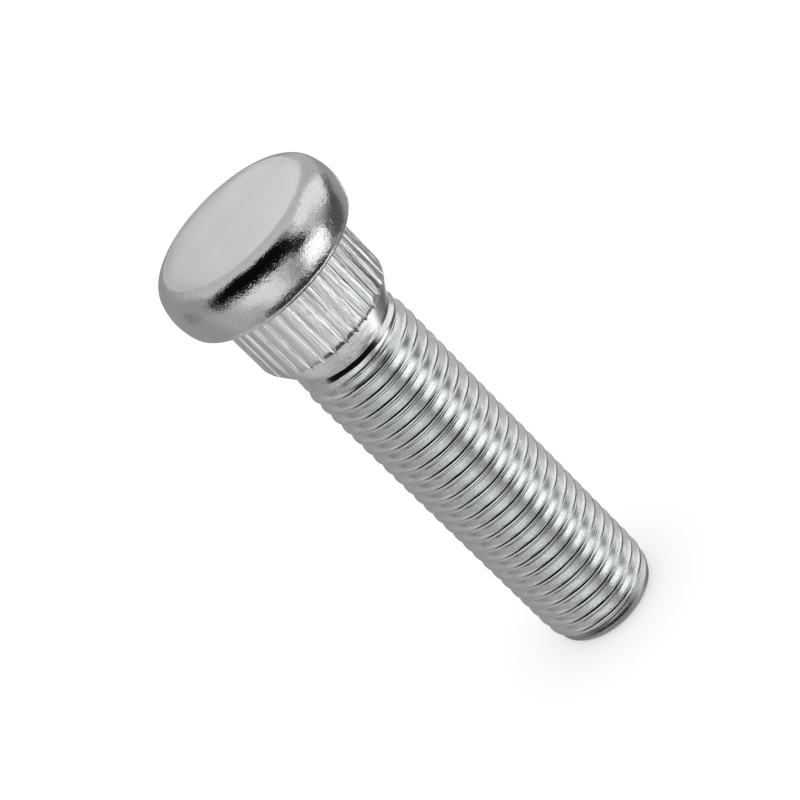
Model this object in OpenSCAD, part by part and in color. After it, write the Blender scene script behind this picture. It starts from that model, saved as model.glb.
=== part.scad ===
// Press-in wheel stud: low round head, serrated collar, smooth neck and a rolled M12 x 1.5 thread.
// The stud stands on its thread end with the head up, and its axis is the Z axis.
// All lengths are in millimetres.

/* [Head] */
// Largest diameter of the head
head_d = 19.2; // [18.2:0.1:24]
// Height of the head from its seat to its flat face
head_h = 5.8; // [5:0.1:7]
// Height above the seat at which the head is widest
head_wide_z = 2.5; // [2:0.1:3.2]
// Radius of the crowned side of the head
head_side_r = 6; // [4.5:0.1:8]
// Radius of the corner between the side and the flat face
head_top_r = 1.8; // [0.6:0.1:2.2]
// Radius of the corner between the side and the seat
head_low_r = 1.2; // [0.4:0.1:1.6]

/* [Serrated collar] */
// Diameter over the serrations, which press into the hub
collar_d = 14.3; // [13.2:0.05:15]
// Length of the full-diameter collar below the seat
collar_l = 6.2; // [4:0.1:9]
// Number of serrations
serrations = 33; // [24:1:40]
// Depth of the grooves between the serrations
serration_depth = 0.33; // [0.15:0.01:0.45]
// Width of the flat land on top of each serration
serration_land = 0.5; // [0.2:0.05:0.7]
// Radius of the rounding at the lower end of the collar
shoulder_r = 2; // [1.6:0.1:3]

/* [Neck] */
// Diameter of the neck where it is narrowest
neck_d = 11.1; // [10.4:0.05:11.3]
// Angle between the stud's axis and the cone from the collar down to the neck
neck_cone_a = 31; // [25:1:40]
// Length of the bevel from the neck up to the thread
bevel_l = 0.5; // [0.2:0.05:1]

/* [Thread] */
// Length of the stud below the head
under_head_l = 50; // [34:0.5:70]
// Outer diameter of the thread
thread_d = 11.95; // [11.7:0.05:12]
// Pitch of the right-hand thread
thread_pitch = 1.5; // [1.25:0.25:1.75]
// Depth of the thread from crest to root
thread_depth = 0.87; // [0.6:0.01:0.95]
// Diameter over the thread's low first crest, next to the neck
run_out_d = 11.5; // [11.3:0.05:11.7]
// Length next to the neck in which the crests stay low
run_out_l = 0.6; // [0.4:0.1:2]
// Length over which the crests then rise to their height
crest_rise_l = 1.2; // [0.8:0.1:3]
// Length over which the roots fall to their depth
root_fall_l = 1.1; // [0.8:0.1:3]
// Diameter of the flat end
tip_d = 9.9; // [9:0.1:10.6]
// Length of the rounded entry at the end
tip_l = 3.2; // [1.6:0.1:4]

/* [Hidden] */

// Straight steps in each arc of the turned outline
arc_steps = 12;
// Steps of the thread in one turn
turn_steps = 36;
// Angle at which the thread starts, and angle of the first groove, seen from above
thread_phase = 291.6;
groove_phase = 7.3;
// Ledge that keeps the thread's top ring inside the bevel
ring_ledge = 0.02;
// Width of the crest and of the root, as shares of the pitch
crest_share = 0.13;
root_share = 0.2;
// Stretch at the end in which the thread grows to its full depth
tip_plain = 0.3;
tip_grow = 1.5;
// How far the shank is let into the head
let_in = 1;
// How far past the collar each groove's cutter reaches, as a multiple of the groove
cutter_reach = 1.4;

collar_radius = collar_d / 2;
neck_radius = neck_d / 2;
run_out_radius = run_out_d / 2;
thread_radius = thread_d / 2;
root_radius = thread_radius - thread_depth;
tip_radius = tip_d / 2;
top_z = under_head_l + head_h;

// Centres of the three arcs of the head, as [radius, height]
side_c = [head_d / 2 - head_side_r, under_head_l + head_wide_z];
top_c = inner_arc(side_c, head_side_r, head_top_r, top_z - head_top_r);
low_c = inner_arc(side_c, head_side_r, head_low_r, under_head_l + head_low_r);
top_a = angle_to(side_c, top_c);
low_a = angle_to(side_c, low_c);

// Centre of the collar's rounding, the point where it runs into the cone, and the cone's lower end
shoulder_c = [collar_radius - shoulder_r, under_head_l - collar_l];
cone_top = shoulder_c + shoulder_r * [cos(neck_cone_a), -sin(neck_cone_a)];
neck_z = cone_top[1] - (cone_top[0] - neck_radius) / tan(neck_cone_a);
thread_top = neck_z - bevel_l;

// Angle from point a to point b
function angle_to(a, b) = atan2(b[1] - a[1], b[0] - a[0]);

// Centre at height z of a small arc that runs smoothly into a large one from inside
function inner_arc(c, large, small, z) =
    [c[0] + sqrt(pow(large - small, 2) - pow(z - c[1], 2)), z];

// Points of an arc, without its last one
function arc(c, r, from, to) =
    [for (k = [0 : arc_steps - 1])
        let (a = from + (to - from) * k / arc_steps)
        [c[0] + r * cos(a), c[1] + r * sin(a)]];

// The round head with its crowned side and flat face
module head() {
    outline = concat(
        [[0, under_head_l], [0, top_z]],
        arc(top_c, head_top_r, 90, top_a),
        arc(side_c, head_side_r, top_a, low_a),
        arc(low_c, head_low_r, low_a, -90),
        [[low_c[0], under_head_l]]
    );
    rotate_extrude($fn = 144) polygon(outline);
}

// The collar, its rounded end, the cone and the bevel, let into the head above the seat
module shank() {
    outline = concat(
        [[0, thread_top], [0, under_head_l + let_in], [collar_radius, under_head_l + let_in]],
        arc(shoulder_c, shoulder_r, 0, -neck_cone_a),
        [cone_top, [neck_radius, neck_z], [run_out_radius, thread_top]]
    );
    rotate_extrude($fn = 144) polygon(outline);
}

// One groove between two serrations, cut through from end to end of the shank
module groove() {
    root = [collar_radius - serration_depth, 0];
    mouth_a = 180 / serrations - serration_land / collar_d * 180 / PI;
    mouth = collar_radius * [cos(mouth_a), sin(mouth_a)];
    lip = root + cutter_reach * (mouth - root);
    translate([0, 0, thread_top])
        linear_extrude(under_head_l + 2 * let_in - thread_top)
            polygon([root, lip, [lip[0], -lip[1]]]);
}

// Share of a stretch of length l below height top that lies above height z
function share_above(z, top, l) = min(1, max(0, (top - z) / l));

// Radius of the thread's crest at height z: rounded at the end and low next to the neck
function crest_r(z) =
    let (
        up = min(1, max(0, tip_l - z) / tip_l),
        full = tip_radius + (thread_radius - tip_radius) * sqrt(1 - up * up),
        risen = share_above(z, thread_top - run_out_l, crest_rise_l)
    )
    run_out_radius + (full - run_out_radius) * risen;

// Radius of the thread's root at height z: it fades out at the end and next to the neck
function root_r(z) =
    let (
        grown = min(1, max(0, (z - tip_plain) / tip_grow)),
        full = max(root_radius, crest_r(z) - thread_depth * grown),
        fallen = share_above(z, thread_top, root_fall_l)
    )
    run_out_radius + (full - run_out_radius) * fallen;

// The thread's section over one pitch from mid root on, as [share of the pitch, is it a crest]
section = [
    [-root_share / 2, false],
    [root_share / 2, false],
    [0.5 - crest_share / 2, true],
    [0.5 + crest_share / 2, true]
];
rows = ceil(turn_steps * (thread_top / thread_pitch + 1 + root_share / 2));

// Height of point j of the section at step i along the helix
function helix_z(i, j) = thread_pitch * (i / turn_steps - 1 + section[j][0]);

function helix_point(i, j) =
    let (
        z = helix_z(i, j),
        r = section[j][1] ? crest_r(z) : root_r(z),
        a = thread_phase + 360 * (i % turn_steps) / turn_steps
    )
    [r * cos(a), r * sin(a), z];

// Number of a point: what lies past an end of the thread is drawn in to the ring there
function point_id(i, j) =
    j == len(section) ? point_id(i + turn_steps, 0)
    : helix_z(i, j) <= 0 ? i % turn_steps
    : helix_z(i, j) >= thread_top ? turn_steps + i % turn_steps
    : 2 * turn_steps + i * len(section) + j;

function ring(r, z) =
    [for (i = [0 : turn_steps - 1])
        let (a = thread_phase + 360 * i / turn_steps)
        [r * cos(a), r * sin(a), z]];

function is_face(f) = f[0] != f[1] && f[1] != f[2] && f[2] != f[0];

// The rolled thread: one helical sheet from the end face up to the bevel, closed by two rings
module thread() {
    points = concat(
        ring(tip_radius, 0),
        ring(run_out_radius - ring_ledge, thread_top),
        [for (i = [0 : rows + turn_steps], j = [0 : len(section) - 1]) helix_point(i, j)]
    );
    sheet = [
        for (i = [0 : rows - 1], j = [0 : len(section) - 1])
            let (
                a = point_id(i, j),
                b = point_id(i + 1, j),
                c = point_id(i + 1, j + 1),
                d = point_id(i, j + 1)
            )
            for (f = [[a, d, c], [a, c, b]])
                if (is_face(f)) f
    ];
    end_face = [for (i = [0 : turn_steps - 1]) i];
    top_face = [for (i = [turn_steps - 1 : -1 : 0]) turn_steps + i];
    polyhedron(points, concat([end_face, top_face], sheet));
}

module wheel_stud() {
    color("#c3c6c4")
    union() {
        head();
        difference() {
            shank();
            for (k = [0 : serrations - 1])
                rotate(groove_phase + k * 360 / serrations) groove();
        }
        thread();
    }
}

wheel_stud();
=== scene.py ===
"""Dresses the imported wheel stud: its fine mesh, its bright zinc plate and a plain stage.

Lengths are in metres. Z runs up the stud's axis, from the flat end of the thread to the head.
"""

import math

import bmesh
import bpy
import numpy as np
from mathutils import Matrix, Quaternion, Vector


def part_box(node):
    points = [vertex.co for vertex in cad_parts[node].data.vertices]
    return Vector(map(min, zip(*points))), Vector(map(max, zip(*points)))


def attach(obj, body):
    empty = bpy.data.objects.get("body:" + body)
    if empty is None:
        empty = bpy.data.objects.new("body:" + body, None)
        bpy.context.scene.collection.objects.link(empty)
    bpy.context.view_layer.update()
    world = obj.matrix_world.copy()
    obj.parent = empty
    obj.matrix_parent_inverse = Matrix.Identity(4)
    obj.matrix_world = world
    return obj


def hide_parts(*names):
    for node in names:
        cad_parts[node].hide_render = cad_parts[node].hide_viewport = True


bl_info = {
    "name": "Wheel stud",
    "version": (1, 0, 0),
    "blender": (4, 5, 0),
    "location": "3D View > Sidebar > Wheel stud",
    "description": "Makes a press-in wheel stud with a rolled thread, and a stage to show it on",
    "category": "Add Mesh",
}

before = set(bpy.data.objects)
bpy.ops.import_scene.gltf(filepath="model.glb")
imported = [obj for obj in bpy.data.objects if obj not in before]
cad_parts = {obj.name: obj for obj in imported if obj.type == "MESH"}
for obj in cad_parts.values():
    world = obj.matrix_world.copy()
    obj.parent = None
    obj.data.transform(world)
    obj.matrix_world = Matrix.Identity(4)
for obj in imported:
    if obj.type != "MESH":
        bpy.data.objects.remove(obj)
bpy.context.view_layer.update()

MM = 0.001
NODE = "wheel_stud"
STUD_FOOT, STUD_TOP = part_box(NODE)


def mm(millimetres):
    """A length in metres."""
    return millimetres * MM


def linear(hex_colour):
    """An sRGB hex colour as linear red, green and blue."""
    parts = [int(hex_colour[i:i + 2], 16) / 255 for i in (1, 3, 5)]
    return [c / 12.92 if c <= 0.04045 else ((c + 0.055) / 1.055) ** 2.4 for c in parts]


def length(name, description, millimetres):
    """A length property whose default is given in millimetres."""
    return bpy.props.FloatProperty(
        name=name, description=description, default=mm(millimetres), min=0,
        unit="LENGTH", precision=5)


class StudSizes(bpy.types.PropertyGroup):
    """Real sizes of the stud."""

    head_d: length("Head diameter", "Largest diameter of the head", 19.2)
    head_h: length("Head height", "Height of the head from its seat to its face", 5.8)
    head_wide: length("Widest at", "Height above the seat at which the head is widest", 2.5)
    head_side_r: length("Side radius", "Radius of the crowned side of the head", 6)
    head_top_r: length("Face corner", "Radius between the side and the face", 1.8)
    head_low_r: length("Seat corner", "Radius between the side and the seat", 1.2)
    face_fall: length("Face fall", "How far the face falls from its middle to its edge", 0.06)
    collar_d: length("Collar diameter", "Diameter over the serrations", 14.3)
    collar_l: length("Collar length", "Length of the full-diameter collar", 6.2)
    serrations: bpy.props.IntProperty(
        name="Serrations", description="Number of grooves round the collar", default=33, min=3)
    serration_depth: length("Groove depth", "Depth of the grooves in the collar", 0.33)
    serration_land: length("Land width", "Width of the land between two grooves", 0.5)
    shoulder_r: length("Shoulder radius", "Rounding at the lower end of the collar", 2)
    neck_d: length("Neck diameter", "Diameter of the neck where it is narrowest", 10.96)
    neck_cone_a: bpy.props.FloatProperty(
        name="Cone angle", description="Angle between the axis and the cone down to the neck",
        default=math.radians(31), subtype="ANGLE")
    neck_r: length("Neck fillet", "Radius of the small fillet at the neck", 0.15)
    bevel_l: length("Bevel length", "Length of the bevel from the neck up to the thread", 0.52)
    run_out_d: length("First crest diameter", "Diameter of the low first crest", 11.5)
    run_out_l: length("First crest length", "Length over which the crests stay low", 0.5)
    thread_d: length("Thread diameter", "Outer diameter of the thread", 11.95)
    pitch: length("Pitch", "Pitch of the right-hand thread", 1.5)
    thread_depth: length("Thread depth", "Depth of the thread from crest to root", 0.87)
    crest_round: length("Crest radius", "Radius of the rolled crest", 0.3)
    root_round: length("Root radius", "Radius of the rolled root", 0.13)
    crest_rise: length("Crest rise", "Length over which the crests rise to their height", 1.2)
    root_fall: length("Root fall", "Length over which the roots fall to their depth", 1.1)
    tip_d: length("End diameter", "Diameter of the flat end", 9.9)
    tip_l: length("Entry length", "Length of the rounded entry", 3.2)


class StudFinish(bpy.types.PropertyGroup):
    """Colours and levels of the finish and the stage."""

    zinc: bpy.props.FloatVectorProperty(
        name="Zinc plate", description="Colour of the bright zinc plate", subtype="COLOR",
        size=3, default=linear("#ebeeed"))
    # A lighter copy of the zinc plate, painted light for the serrations and thread
    rolled_zinc_painted_lighter: bpy.props.FloatVectorProperty(
        name="Rolled plate", description="Colour of the plate over the serrations and thread",
        subtype="COLOR", size=3, default=linear("#f7faf9"))
    thin_zinc: bpy.props.FloatVectorProperty(
        name="Thin plate", description="Colour of the plate where it is thin and dull",
        subtype="COLOR", size=3, default=linear("#c8cac9"))
    floor: bpy.props.FloatVectorProperty(
        name="Floor", description="Colour of the floor", subtype="COLOR",
        size=3, default=linear("#d8d8d8"))


# How finely the mesh is cut: columns round the axis, steps in an arc, and rings
HEAD_COLUMNS = 180
THREAD_COLUMNS = 120
ARC_STEPS = 14
COLLAR_RINGS = 7
SHOULDER_RINGS = 9
FILLET_STEPS = 8
# Angles from which the first groove and the first turn of the thread are counted
GROOVE_START = math.radians(7.3)
THREAD_START = math.radians(291.6)


class Shell:
    """Points and faces of a closed turned shell, made ring by ring from the head down."""

    def __init__(self):
        self.points = []
        self.faces = []
        self.last = None

    def add(self, ring):
        """Adds points and returns their numbers."""
        start = len(self.points)
        self.points.extend(map(tuple, ring))
        return list(range(start, start + len(ring)))

    def ring(self, ring):
        """Adds a ring and joins it to the one before."""
        new = self.add(ring)
        if self.last is not None:
            self.join(self.last, new)
        self.last = new
        return new

    def join(self, upper, lower):
        """Joins two rings: by quads if they match, else by triangles from angle to angle."""
        n, m = len(upper), len(lower)
        if n == m:
            for i in range(n):
                k = (i + 1) % n
                self.faces.append((upper[i], lower[i], lower[k], upper[k]))
            return
        zero = self.angle(upper[0])
        lower = sorted(lower, key=lambda p: (self.angle(p) - zero) % math.tau)
        above = [(self.angle(p) - zero) % math.tau for p in upper] + [math.tau]
        below = [(self.angle(p) - zero) % math.tau for p in lower] + [math.tau]
        i = j = 0
        while i < n or j < m:
            if j == m or (i < n and above[i + 1] <= below[j + 1]):
                self.faces.append((upper[i % n], lower[j % m], upper[(i + 1) % n]))
                i += 1
            else:
                self.faces.append((upper[i % n], lower[j % m], lower[(j + 1) % m]))
                j += 1

    def angle(self, number):
        """Angle of a point round the axis."""
        return math.atan2(self.points[number][1], self.points[number][0])


def circle(radius, z, angles):
    """Points round the axis at one radius and height, or one of each for every angle."""
    return np.column_stack(
        (radius * np.cos(angles), radius * np.sin(angles), np.broadcast_to(z, angles.shape)))


def turn(count, start=0.0):
    """Angles of evenly spaced columns."""
    return start + np.arange(count) * math.tau / count


def arc(centre, radius, start, end, steps=ARC_STEPS):
    """Points of an arc in the plane of radius and height, with both its ends."""
    angles = np.linspace(start, end, steps + 1)
    return np.column_stack(
        (centre[0] + radius * np.cos(angles), centre[1] + radius * np.sin(angles)))


def direction(a, b):
    """Angle from point a to point b."""
    return math.atan2(b[1] - a[1], b[0] - a[0])


def inner_arc(centre, large, small, z):
    """Centre, at height z, of a small arc that runs smoothly into a large one from inside."""
    return centre[0] + math.sqrt((large - small) ** 2 - (z - centre[1]) ** 2), z


# Rings on the flat of the face, counting its middle
FACE_RINGS = 10
# How the face falls towards its edge: a slow part and a late part, each as a share and a power.
# Past the edge the fall goes on along a straight line of the same slope.
SLOW_FALL, SLOW_POWER = 0.4, 3
LATE_FALL, LATE_POWER = 0.6, 12
EDGE_SLOPE = SLOW_FALL * SLOW_POWER + LATE_FALL * LATE_POWER


def head_outline(s, seat, top):
    """Outline of the head from its face to its seat."""
    side = (s.head_d / 2 - s.head_side_r, seat + s.head_wide)
    face_corner = inner_arc(side, s.head_side_r, s.head_top_r, top - s.head_top_r)
    seat_corner = inner_arc(side, s.head_side_r, s.head_low_r, seat + s.head_low_r)
    upper, lower = direction(side, face_corner), direction(side, seat_corner)
    face = [(face_corner[0] * k / FACE_RINGS, top) for k in range(1, FACE_RINGS)]
    outline = np.vstack((
        face,
        arc(face_corner, s.head_top_r, math.pi / 2, upper),
        arc(side, s.head_side_r, upper, lower)[1:],
        arc(seat_corner, s.head_low_r, lower, -math.pi / 2)[1:]))
    out = outline[:, 0] / face_corner[0]
    fall = np.where(out < 1, SLOW_FALL * out ** SLOW_POWER + LATE_FALL * out ** LATE_POWER,
                    1 + EDGE_SLOPE * (out - 1))
    # The side below its widest place stays as it is
    up = np.clip((outline[:, 1] - side[1]) / (top - side[1]), 0, 1)
    outline[:, 1] -= s.face_fall * fall * up
    return outline


# One groove from edge to edge, as shares of half its width and of its depth. Its edges and its
# root are rolled round.
HALF_GROOVE = (
    (1.14, 0.0), (1.0, 0.01), (0.8, 0.05), (0.6, 0.15), (0.42, 0.37), (0.26, 0.67), (0.12, 0.87))
GROOVE_ROOT = (0.0, 0.94)
GROOVE = (*((-share, depth) for share, depth in HALF_GROOVE), GROOVE_ROOT, *reversed(HALF_GROOVE))
# How much one groove differs from the next: its middle as a share of the spacing, and its width
# and depth as multiples
MIDDLE_SPREAD = 0.03
WIDTH_RANGE = (0.88, 1.04)
DEPTH_RANGE = (0.85, 1.06)


def serrated(s):
    """Angle and radius of each column of the serrated collar, no two grooves quite alike."""
    chance = np.random.default_rng(7)
    radius = s.collar_d / 2
    step = math.tau / s.serrations
    half = step / 2 - s.serration_land / s.collar_d
    angles, radii = [], []
    for k in range(s.serrations):
        middle = GROOVE_START + (k + chance.uniform(-MIDDLE_SPREAD, MIDDLE_SPREAD)) * step
        width = half * chance.uniform(*WIDTH_RANGE)
        cut = s.serration_depth * chance.uniform(*DEPTH_RANGE)
        for share, depth in GROOVE:
            angles.append(middle + share * width)
            radii.append(radius - depth * cut)
        angles.append(GROOVE_START + (k + 0.5) * step)
        radii.append(radius)
    return np.array(angles), np.array(radii)


def rounded_corner(before, corner, after, radius, steps):
    """Points of an arc that rounds the corner between two straight lines."""
    one, two = (np.subtract(p, corner) / np.linalg.norm(np.subtract(p, corner))
                for p in (before, after))
    half = math.acos(np.clip(one @ two, -1, 1)) / 2
    middle = corner + (one + two) / np.linalg.norm(one + two) * radius / math.sin(half)
    reach = radius / math.tan(half)
    start, end = (direction(middle, corner + way * reach) % math.tau for way in (one, two))
    return arc(middle, radius, start, end, steps)


def add_collar(shell, s, seat):
    """Adds the collar, its rounded end, the cone and the bevel, and returns the thread's top."""
    centre = np.array((s.collar_d / 2 - s.shoulder_r, seat - s.collar_l))
    cone_top = centre + s.shoulder_r * np.array((math.cos(s.neck_cone_a), -math.sin(s.neck_cone_a)))
    neck = np.array((s.neck_d / 2,
                     cone_top[1] - (cone_top[0] - s.neck_d / 2) / math.tan(s.neck_cone_a)))
    first_crest = np.array((s.run_out_d / 2, neck[1] - s.bevel_l))
    angles, radii = serrated(s)
    # Each column of the collar ends where it meets the rounding
    tooth_ends = centre[1] - np.sqrt(np.maximum(0, s.shoulder_r ** 2 - (radii - centre[0]) ** 2))
    for share in np.linspace(0, 1, COLLAR_RINGS):
        shell.ring(circle(radii, seat + (tooth_ends - seat) * share, angles))
    turned = np.arctan2(tooth_ends - centre[1], radii - centre[0])
    # The rounding ends a degree past the cone's slope, so that no column is left without length
    last = min(turned.min(), -s.neck_cone_a) - math.radians(1)
    for share in np.linspace(0, 1, SHOULDER_RINGS)[1:]:
        a = turned + (last - turned) * share
        shell.ring(circle(centre[0] + s.shoulder_r * np.cos(a),
                          centre[1] + s.shoulder_r * np.sin(a), angles))
    # One ring a tenth of the way down the cone, and one near the lower end of the bevel
    cone_ring = cone_top + (neck - cone_top) * 0.1
    bevel_ring = neck + (first_crest - neck) * 0.88
    fillet = rounded_corner(cone_top, neck, first_crest, s.neck_r, FILLET_STEPS)
    for r, z in (cone_ring, *fillet, bevel_ring):
        shell.ring(circle(r, z, angles))
    return first_crest[1]


# Points of the thread's section: steps in the arcs of a root and a crest, and points on a flank
ROOT_STEPS = 4
CREST_STEPS = 8
FLANK_POINTS = 4
# How far each arc turns to either side, so that the flanks lean about 30 degrees
ARC_TURN = math.radians(60)


def thread_section(s):
    """Points of the thread's section over one pitch, as shares of the pitch and of the depth."""
    down_way, up_way = -math.pi / 2, math.pi / 2
    root = arc((0, s.root_round), s.root_round, down_way - ARC_TURN, down_way + ARC_TURN,
               ROOT_STEPS)
    crest = arc((s.pitch / 2, s.thread_depth - s.crest_round), s.crest_round,
                up_way + ARC_TURN, up_way - ARC_TURN, CREST_STEPS)
    up = np.linspace(root[-1], crest[0], FLANK_POINTS + 2)[1:-1]
    down = np.linspace(crest[-1], root[0] + (s.pitch, 0), FLANK_POINTS + 2)[1:-1]
    section = np.vstack((root, up, crest, down))
    return section[:, 0] / s.pitch, section[:, 1] / s.thread_depth


def crest_radius(s, z, top_z):
    """Radius of the crest: rounded at the end, low at the neck."""
    up = np.clip((s.tip_l - z) / s.tip_l, 0, 1)
    full = s.tip_d / 2 + (s.thread_d - s.tip_d) / 2 * np.sqrt(1 - up * up)
    risen = np.clip((top_z - s.run_out_l - z) / s.crest_rise, 0, 1)
    return s.run_out_d / 2 + (full - s.run_out_d / 2) * risen


# Stretch at the flat end without a thread, and the stretch in which it then grows deep
TIP_PLAIN = mm(0.3)
TIP_GROW = mm(1.5)


def root_radius(s, z, top_z):
    """Radius of the root: it fades into the rounded end and into the low first crest."""
    grown = np.clip((z - TIP_PLAIN) / TIP_GROW, 0, 1)
    deep = s.thread_d / 2 - s.thread_depth
    full = np.maximum(deep, crest_radius(s, z, top_z) - s.thread_depth * grown)
    return s.run_out_d / 2 + (full - s.run_out_d / 2) * np.clip((top_z - z) / s.root_fall, 0, 1)


def add_thread(shell, s, top_z):
    """Adds the thread as one helical sheet between its top ring and the ring of the flat end."""
    columns = turn(THREAD_COLUMNS, THREAD_START)
    share, height = thread_section(s)
    top_ring = shell.ring(circle(s.run_out_d / 2, top_z, columns))
    end_ring = shell.add(circle(s.tip_d / 2, 0, columns))
    rows = math.ceil(THREAD_COLUMNS * (top_z / s.pitch + 1))
    steps = np.arange(rows + THREAD_COLUMNS + 1)
    z = s.pitch * (steps[:, None] / THREAD_COLUMNS - 1 + share[None, :])
    low, high = root_radius(s, z, top_z), crest_radius(s, z, top_z)
    radius = low + (high - low) * height[None, :]
    angle = np.broadcast_to(columns[steps % THREAD_COLUMNS][:, None], z.shape)
    inside = (z > 0) & (z < top_z)
    number = np.where(z <= 0, np.array(end_ring)[steps % THREAD_COLUMNS][:, None],
                      np.array(top_ring)[steps % THREAD_COLUMNS][:, None])
    number[inside] = shell.add(circle(radius[inside], z[inside], angle[inside]))
    wide = np.hstack((number[:-THREAD_COLUMNS], number[THREAD_COLUMNS:, :1]))
    for i in range(rows):
        here, there = wide[i], wide[i + 1]
        for j in range(len(share)):
            face = [here[j], there[j], there[j + 1], here[j + 1]]
            face = [p for k, p in enumerate(face) if p != face[k - 1]]
            if len(face) > 2 and len(set(face)) == len(face):
                shell.faces.append(tuple(face))
    return end_ring


def add_cap(shell, ring, middle, upward):
    """Closes a ring with a fan round its middle."""
    hub = shell.add([middle])[0]
    for i, a in enumerate(ring):
        b = ring[(i + 1) % len(ring)]
        shell.faces.append((hub, a, b) if upward else (hub, b, a))


SHARP_EDGE = math.radians(40)


def mesh_object(name, shell, material):
    """A smooth object of a shell's points and faces."""
    mesh = bpy.data.meshes.new(name)
    mesh.from_pydata(shell.points, [], shell.faces)
    mesh.validate()
    mesh.shade_smooth()
    mesh.set_sharp_from_angle(angle=SHARP_EDGE)
    mesh.materials.append(material)
    made = bpy.data.objects.new(name, mesh)
    bpy.context.scene.collection.objects.link(made)
    return made


def add_node(tree, kind, settings=None, inputs=None):
    """Adds a shader node with its settings, and its inputs as values or as links from sockets."""
    node = tree.nodes.new(kind)
    for name, value in (settings or {}).items():
        setattr(node, name, value)
    for name, value in (inputs or {}).items():
        if isinstance(value, bpy.types.NodeSocket):
            tree.links.new(value, node.inputs[name])
        else:
            node.inputs[name].default_value = value
    return node


def new_material(name):
    """An empty node material, its tree and its output."""
    material = bpy.data.materials.new(name)
    material.use_nodes = True
    tree = material.node_tree
    tree.nodes.clear()
    return material, tree, tree.nodes.new("ShaderNodeOutputMaterial")


def math_node(tree, operation, *values, clamp=False):
    """Adds a math node and returns its result."""
    node = add_node(tree, "ShaderNodeMath", {"operation": operation, "use_clamp": clamp},
                    dict(enumerate(values)))
    return node.outputs[0]


def between(tree, value, low, high, soft):
    """1 where a value lies between two limits, fading to 0 over a soft edge."""
    rise = add_node(tree, "ShaderNodeMapRange", {"interpolation_type": "SMOOTHSTEP"}, {
        "Value": value, "From Min": low - soft / 2, "From Max": low + soft / 2})
    fall = add_node(tree, "ShaderNodeMapRange", {"interpolation_type": "SMOOTHSTEP"}, {
        "Value": value, "From Min": high + soft / 2, "From Max": high - soft / 2})
    return math_node(tree, "MULTIPLY", rise.outputs[0], fall.outputs[0])


def stretched_noise(tree, parts, sizes, detail=2.0):
    """Noise over three coordinates, with the length of its grains along each of them."""
    scaled = [math_node(tree, "DIVIDE", part, size) for part, size in zip(parts, sizes)]
    point = add_node(tree, "ShaderNodeCombineXYZ", None, dict(enumerate(scaled)))
    return add_node(tree, "ShaderNodeTexNoise", None, {
        "Vector": point.outputs[0], "Scale": 1.0, "Detail": detail}).outputs["Fac"]


# A height or radius that no part of the stud reaches, as the open end of a band
FAR = 1.0
# Roughness of the bright plate, and depth of the bump where a pattern's own depth is 1
PLATE_ROUGHNESS = 0.1
BUMP_DEPTH = mm(0.025)


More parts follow.
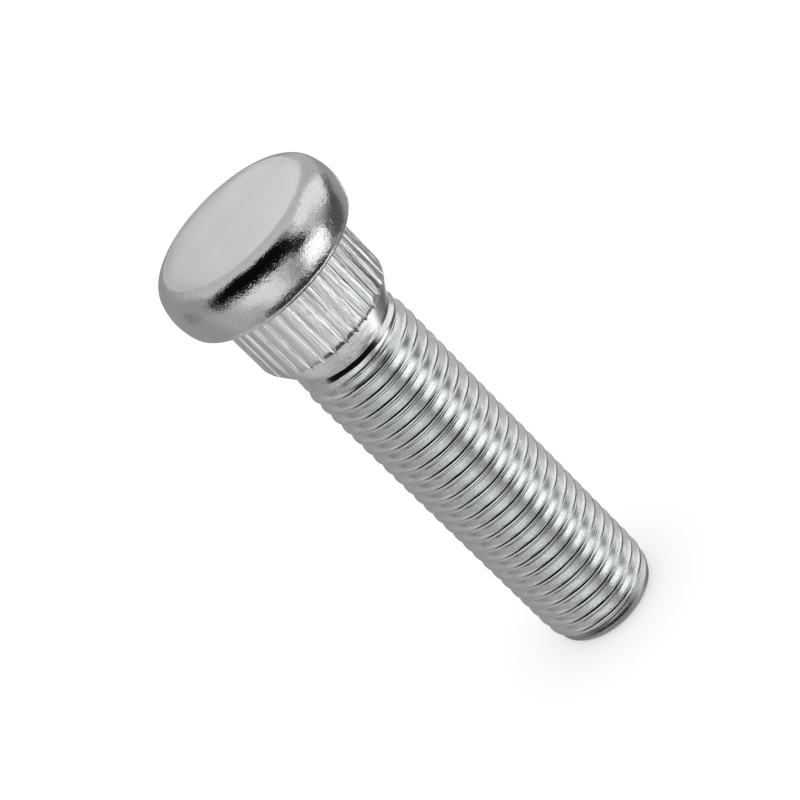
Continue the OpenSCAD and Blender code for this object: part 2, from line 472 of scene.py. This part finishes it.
def bright_zinc_plate(finish, seat, s):
    """Bright zinc plate over steel: grained forged head, scored serrations, turned lines below."""
    material, tree, out = new_material("bright_zinc_plate")
    place = add_node(tree, "ShaderNodeTexCoord").outputs["Object"]
    x, y, z = add_node(tree, "ShaderNodeSeparateXYZ", None, {0: place}).outputs
    flat = add_node(tree, "ShaderNodeCombineXYZ", None, {0: x, 1: y})
    radius = add_node(tree, "ShaderNodeVectorMath", {"operation": "LENGTH"}, {
        0: flat.outputs[0]}).outputs["Value"]
    round_length = math_node(
        tree, "MULTIPLY", math_node(tree, "ARCTAN2", y, x), s.thread_d / 2)
    rise = math_node(tree, "MULTIPLY", round_length, s.pitch / (math.pi * s.thread_d))
    helix = math_node(tree, "SUBTRACT", z, rise)

    # The rim is the side of the head and the rounded corner round its face
    head = between(tree, z, seat, FAR, mm(0.1))
    side = between(tree, radius, s.head_d / 2 - mm(1.9), FAR, mm(0.6))
    rim = math_node(tree, "MULTIPLY", head, side)
    # The serrations run out partway down the rounded shoulder
    tooth_foot = seat - s.collar_l - mm(0.8)
    collar = between(tree, z, tooth_foot, seat, mm(0.4))
    below = between(tree, z, -FAR, tooth_foot, mm(0.4))
    # The cut end and its rounded entry are dull and pitted
    end = between(tree, z, -FAR, mm(1.3), mm(1.6))
    # Grains are drawn about a pixel wide; the real ones are finer
    grain = stretched_noise(tree, (x, y, z), [mm(0.09)] * 3, 1.0)
    # Slow waves of the forged surface, wider on the flat face
    waves = stretched_noise(tree, (x, y, z), [mm(0.9)] * 3, 1.0)
    swells = stretched_noise(tree, (z, x, y), [mm(4)] * 3, 0.0)
    # Small dents
    dents = stretched_noise(tree, (y, z, x), [mm(0.17)] * 3, 1.0)
    # Dull patches where the plate lies thin over the forging's scale
    dull = stretched_noise(tree, (z, x, y), [mm(0.22)] * 3, 3.0)
    # Scores left along the serrations by the rolling die, deeper in some places
    scores = stretched_noise(tree, (x, y, z), (mm(0.13), mm(0.13), mm(4)))
    torn = stretched_noise(tree, (y, x, z), (mm(1.5), mm(1.5), mm(5)), 0.0)
    scores = math_node(tree, "MULTIPLY", scores, math_node(tree, "SUBTRACT", torn, 0.2))
    # Lines round the cone, the neck and the flanks of the thread
    lines = stretched_noise(tree, (radius, helix, round_length), (mm(0.12), mm(0.12), mm(4)))
    # Where each pattern lies, and how deep it is there
    height = 0.0
    for mask, pattern, depth in (
            (rim, grain, 0.22), (head, grain, 0.08), (head, swells, 3.0), (rim, waves, 1.3),
            (rim, dents, 0.65), (end, dents, 1.5), (collar, scores, 10.0), (below, lines, 0.6),
            (below, grain, 0.15)):
        share = math_node(tree, "MULTIPLY", mask, math_node(tree, "MULTIPLY", pattern, depth))
        height = math_node(tree, "ADD", share, height)
    bump = add_node(tree, "ShaderNodeBump", None, {
        "Height": height, "Strength": 1.0, "Distance": BUMP_DEPTH})
    # Thin plate is greyer and scatters more than the bright plate round it
    thin = add_node(tree, "ShaderNodeMapRange", None, {
        "Value": dull, "From Min": 0.42, "From Max": 0.75}).outputs[0]
    patched = math_node(tree, "MAXIMUM", math_node(tree, "MULTIPLY", rim, 0.45),
                        math_node(tree, "MULTIPLY", below, 0.4))
    thin = math_node(tree, "MULTIPLY", thin, patched)
    # Grey streaks along the serrations
    streaks = add_node(tree, "ShaderNodeMapRange", None, {
        "Value": stretched_noise(tree, (y, x, z), (mm(0.15), mm(0.15), mm(3))),
        "From Min": 0.5, "From Max": 0.8}).outputs[0]
    thin = math_node(tree, "MAXIMUM", thin, math_node(tree, "MULTIPLY", streaks, collar))
    thin = math_node(tree, "MAXIMUM", thin, end)
    # The serrations and thread take a lighter copy of the plate: painted light that makes up for
    # the light their grooves lose
    plate = add_node(tree, "ShaderNodeMix", {"data_type": "RGBA"}, {
        "Factor": head, "A": [*finish.rolled_zinc_painted_lighter, 1], "B": [*finish.zinc, 1]})
    colour = add_node(tree, "ShaderNodeMix", {"data_type": "RGBA"}, {
        "Factor": thin, "A": plate.outputs["Result"], "B": [*finish.thin_zinc, 1]})
    roughness = PLATE_ROUGHNESS
    for mask, rougher in ((thin, 0.08), (collar, 0.08), (end, 0.2), (below, 0.05)):
        share = math_node(tree, "MULTIPLY", mask, rougher)
        roughness = math_node(tree, "ADD", roughness, share)
    shader = add_node(tree, "ShaderNodeBsdfPrincipled", None, {
        "Metallic": 1.0, "Roughness": roughness, "Normal": bump.outputs[0]})
    tree.links.new(colour.outputs["Result"], shader.inputs["Base Color"])
    tree.links.new(shader.outputs["BSDF"], out.inputs["Surface"])
    return material


class MakeStud(bpy.types.Operator):
    """Make the wheel stud as one closed mesh."""

    bl_idname = "wheel_stud.make_stud"
    bl_label = "Make stud"

    def execute(self, context):
        s = context.scene.stud_sizes
        top = STUD_TOP.z
        seat = top - s.head_h
        shell = Shell()
        columns = turn(HEAD_COLUMNS)
        rings = [shell.ring(circle(r, z, columns)) for r, z in head_outline(s, seat, top)]
        add_cap(shell, rings[0], (0, 0, top), True)
        top_z = add_collar(shell, s, seat)
        end_ring = add_thread(shell, s, top_z)
        add_cap(shell, end_ring, (0, 0, STUD_FOOT.z), False)
        zinc = bright_zinc_plate(context.scene.stud_finish, seat, s)
        stud = mesh_object("stud", shell, zinc)
        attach(stud, "root")
        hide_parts(NODE)
        return {"FINISHED"}


# The camera looks down on the head, and its frame is turned so that the stud lies aslant
AIM = Vector((mm(-0.45), 0, mm(31.46)))
CAMERA_DISTANCE = mm(232.9)
CAMERA_ELEVATION = math.radians(28.33)
CAMERA_ROLL = math.radians(45.23)
CAMERA_LENS = 114.5
SENSOR_WIDTH = 36
# Nearest and farthest distance that the camera sees, in metres
CAMERA_REACH = (0.01, 10)


def add_camera(scene):
    """Puts the camera at the photographed angle."""
    data = bpy.data.cameras.new("camera")
    data.lens = CAMERA_LENS
    data.sensor_width = SENSOR_WIDTH
    camera = bpy.data.objects.new("camera", data)
    scene.collection.objects.link(camera)
    back = Vector((0, -math.cos(CAMERA_ELEVATION), math.sin(CAMERA_ELEVATION)))
    camera.location = AIM + back * CAMERA_DISTANCE
    camera.rotation_mode = "QUATERNION"
    camera.rotation_quaternion = (
        (-back).to_track_quat("-Z", "Y") @ Quaternion((0, 0, 1), -CAMERA_ROLL))
    data.clip_start, data.clip_end = CAMERA_REACH
    scene.camera = camera


FLOOR_HALF = 3.0
# Brightness added to the floor where it is seen, which brings it to white
FLOOR_LIFT = 0.4


def add_floor(scene, finish):
    """Adds the pale floor that the stud stands on."""
    material, tree, out = new_material("matt_white_board")
    path = add_node(tree, "ShaderNodeLightPath").outputs
    seen = math_node(tree, "MAXIMUM", path["Is Camera Ray"], path["Is Glossy Ray"])
    seen = math_node(tree, "MAXIMUM", seen, path["Is Transmission Ray"])
    lift = math_node(tree, "MULTIPLY", seen, FLOOR_LIFT)
    board = add_node(tree, "ShaderNodeBsdfDiffuse", None, {"Color": [*finish.floor, 1]})
    glow = add_node(tree, "ShaderNodeEmission", None, {"Color": [1, 1, 1, 1], "Strength": lift})
    both = add_node(tree, "ShaderNodeAddShader", None, {
        0: board.outputs[0], 1: glow.outputs[0]})
    tree.links.new(both.outputs[0], out.inputs["Surface"])
    mesh = bpy.data.meshes.new("floor")
    corners = [(x * FLOOR_HALF, y * FLOOR_HALF, 0) for x, y in ((-1, -1), (1, -1), (1, 1), (-1, 1))]
    mesh.from_pydata(corners, [], [(0, 1, 2, 3)])
    mesh.materials.append(material)
    floor = bpy.data.objects.new("floor", mesh)
    scene.collection.objects.link(floor)
    floor.visible_glossy = False


def light_world(scene):
    """Lights everything evenly from all round."""
    world = bpy.data.worlds.new("soft_light")
    world.use_nodes = True
    tree = world.node_tree
    tree.nodes.clear()
    sky = add_node(tree, "ShaderNodeBackground", None, {"Color": [1, 1, 1, 1], "Strength": 1.0})
    out = tree.nodes.new("ShaderNodeOutputWorld")
    tree.links.new(sky.outputs[0], out.inputs["Surface"])
    scene.world = world


TENT_RADIUS = 1.5
# Height of the tent's middle, as a share of the stud's height
TENT_MIDDLE = 0.8
# Brightness between the panels
TENT_LEVEL = 0.32
# Panels of the light tent, in degrees: way round from the camera's side towards +X and its
# width, way down from straight above and its height, soft edge each way, brightness
PANELS = (
    ("roof", 0, 360, 8, 80, 0, 14, 0.55),
    ("table below", 0, 360, 176, 22, 0, 6, 0.64),
    ("walls behind", 172, 104, 37, 46, 24, 20, 0.52),
    ("wall behind at the right", 148, 40, 77, 42, 12, 12, 0.47),
    ("bright wall behind", 172, 26, 58, 30, 18, 14, 0.72),
    ("wall on the right", 84, 76, 69, 60, 16, 6, 0.85),
    ("dimmer foot of the right wall", 60, 36, 90, 20, 14, 10, 0.54),
    ("wall on the left", -70, 40, 115, 44, 20, 14, 0.42),
    ("grey post at the left", -114, 16, 96, 10, 6, 5, 0.2),
    ("pale wall below the camera", -22, 88, 109, 50, 8, 4, 0.44),
    ("glow in the pale wall", -26, 46, 100, 26, 30, 16, 0.8),
    ("glow lower down", -18, 30, 120, 22, 20, 14, 0.8),
    ("black flag at the camera", -22, 118, 53.5, 65, 9, 5, 0.003),
    ("grey edge beside the flag", 46, 20, 34, 36, 10, 8, 0.25),
    ("black flag's corner", 35, 27, 88, 20, 8, 5, 0.015),
    ("black flag's tip", 29, 16, 100, 8, 6, 5, 0.04),
    ("black flag's left corner", -68, 12, 87, 10, 8, 6, 0.03),
    ("lamp at the lower right", 50, 47, 118, 36, 10, 6, 1.0),
    ("hot middle of the lamp", 49, 26, 114, 20, 10, 8, 1.35),
    ("grey slit beside the lamp", 16, 11, 118, 34, 8, 8, 0.28),
    ("dark gap beyond the lamp", 97, 46, 118, 34, 12, 8, 0.09),
    ("grey line above the gap", 79, 28, 101, 11, 8, 5, 0.26),
    ("dark edge under the right wall", 118, 22, 100, 10, 12, 6, 0.1),
    ("dark gap under the walls", 14, 134, 152, 30, 14, 4, 0.04),
    ("strip at the far right", 172, 30, 119, 10, 8, 5, 1.1),
    ("pale patch at the lower left", -125, 84, 155, 34, 24, 14, 0.5),
    ("lamp under the right wall", 112, 32, 162, 22, 8, 6, 1.35),
    ("dark gap under the right lamp", 145, 32, 141, 20, 8, 6, 0.14),
)


def add_tent(scene):
    """Adds the light tent of pale and dark panels that the bright metal reflects."""
    material, tree, out = new_material("tent_panels")
    place = add_node(tree, "ShaderNodeTexCoord").outputs["Object"]
    unit = add_node(tree, "ShaderNodeVectorMath", {"operation": "NORMALIZE"}, {0: place})
    x, y, z = add_node(tree, "ShaderNodeSeparateXYZ", None, {0: unit.outputs[0]}).outputs
    turned = math_node(tree, "ARCTAN2", x, math_node(tree, "MULTIPLY", y, -1.0))
    down = math_node(tree, "ARCCOSINE", z)
    level = TENT_LEVEL
    for _, way_round, width, way_down, high, soft, soft_down, brightness in PANELS:
        way_round, width, way_down, high, soft, soft_down = map(
            math.radians, (way_round, width, way_down, high, soft, soft_down))
        off = math_node(tree, "WRAP", math_node(tree, "SUBTRACT", turned, way_round),
                        math.pi, -math.pi)
        inside = between(tree, down, way_down - high / 2, way_down + high / 2, soft_down)
        if width < math.tau:
            inside = math_node(tree, "MULTIPLY", inside, between(
                tree, off, -width / 2, width / 2, soft))
        level = add_node(tree, "ShaderNodeMix", {"data_type": "FLOAT"}, {
            "Factor": inside, "A": level, "B": brightness}).outputs[0]
    glow = add_node(tree, "ShaderNodeEmission", None, {"Strength": level})
    tree.links.new(glow.outputs[0], out.inputs["Surface"])
    mesh = bpy.data.meshes.new("light_tent")
    ball = bmesh.new()
    bmesh.ops.create_uvsphere(ball, u_segments=96, v_segments=48, radius=TENT_RADIUS)
    ball.to_mesh(mesh)
    ball.free()
    mesh.materials.append(material)
    tent = bpy.data.objects.new("light_tent", mesh)
    tent.location.z = STUD_TOP.z * TENT_MIDDLE
    tent.visible_camera = tent.visible_diffuse = tent.visible_shadow = False
    tent.visible_transmission = tent.visible_volume_scatter = False
    scene.collection.objects.link(tent)


class SetStage(bpy.types.Operator):
    """Set up the camera, the floor and the light."""

    bl_idname = "wheel_stud.set_stage"
    bl_label = "Set stage"

    def execute(self, context):
        scene = context.scene
        add_camera(scene)
        add_floor(scene, scene.stud_finish)
        light_world(scene)
        add_tent(scene)
        scene.view_settings.view_transform = "Standard"
        return {"FINISHED"}


class StudPanel(bpy.types.Panel):
    """Lists the stud's operators and values."""

    bl_idname = "VIEW3D_PT_wheel_stud"
    bl_label = "Wheel stud"
    bl_space_type = "VIEW_3D"
    bl_region_type = "UI"
    bl_category = "Wheel stud"

    def draw(self, context):
        layout = self.layout
        for operator in (MakeStud, SetStage):
            layout.operator(operator.bl_idname)
        for group in (context.scene.stud_sizes, context.scene.stud_finish):
            box = layout.box()
            for name in group.__annotations__:
                box.prop(group, name)


CLASSES = (StudSizes, StudFinish, MakeStud, SetStage, StudPanel)


def register():
    """Registers the classes and hangs the values on the scene."""
    for cls in CLASSES:
        bpy.utils.register_class(cls)
    bpy.types.Scene.stud_sizes = bpy.props.PointerProperty(type=StudSizes)
    bpy.types.Scene.stud_finish = bpy.props.PointerProperty(type=StudFinish)


def unregister():
    """Takes the values off the scene and unregisters the classes."""
    del bpy.types.Scene.stud_finish
    del bpy.types.Scene.stud_sizes
    for cls in reversed(CLASSES):
        bpy.utils.unregister_class(cls)


def main():
    """Makes the stud and its stage."""
    register()
    bpy.ops.wheel_stud.make_stud()
    bpy.ops.wheel_stud.set_stage()


if __name__ == "__main__":
    main()
